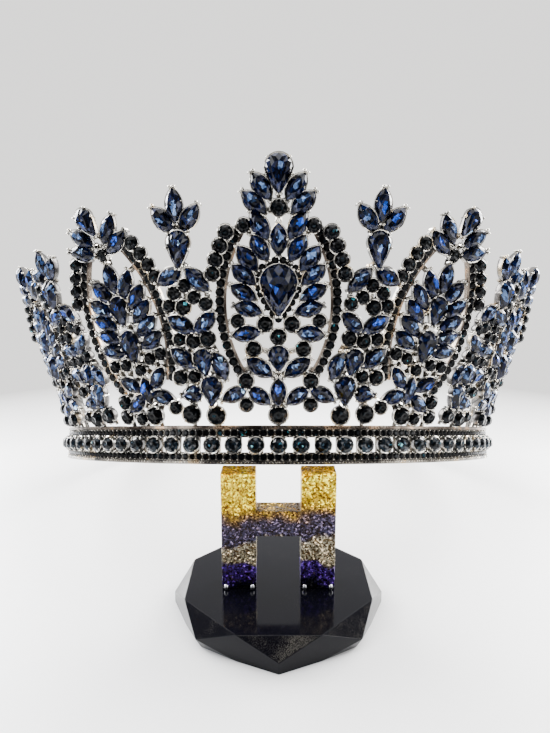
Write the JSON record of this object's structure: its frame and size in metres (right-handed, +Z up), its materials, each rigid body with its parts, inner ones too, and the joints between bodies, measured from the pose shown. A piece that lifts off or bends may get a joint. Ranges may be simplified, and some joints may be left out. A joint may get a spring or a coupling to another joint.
{
  "type": "pageant crown on display stand",
  "caption": "Openwork pageant crown with dark blue cut stones in a dark silver setting, leaning on a glitter resin stand with a faceted black base.",
  "frame": {"origin": "centre of the underside of the stand's base, on the surface that it stands on", "axes": "+Z up, -Y to the front of the crown, +X to the right seen from the front"},
  "size_m": [0.187, 0.1534, 0.1181],
  "materials": {
    "black_gloss": "polished black with flat facets",
    "glitter_resin": "clear gloss resin over bands of gold, grey and violet glitter",
    "silver_ball": "polished",
    "dark_silver": "cast and plated, bright at the prongs",
    "blue_crystal": "foil-backed faceted crystal, so no light passes through",
    "dark_crystal": "foil-backed faceted crystal, nearly black"
  },
  "bodies": {
    "root": {"stand_base": "black_gloss", "stand_plate": "glitter_resin", "stand_studs": "silver_ball", "crown_frame": "dark_silver", "centre_top_pear": "blue_crystal", "centre_main_pear": "blue_crystal", "centre_low_pear": "blue_crystal", "spire_pears_left": "blue_crystal", "spire_pears_right": "blue_crystal", "leaf_pears_left": "blue_crystal", "leaf_pears_right": "blue_crystal", "centre_stones": "blue_crystal", "spire_stones": "blue_crystal", "leaf_stones": "blue_crystal", "band_stones": "dark_crystal"}
  },
  "joints": []
}
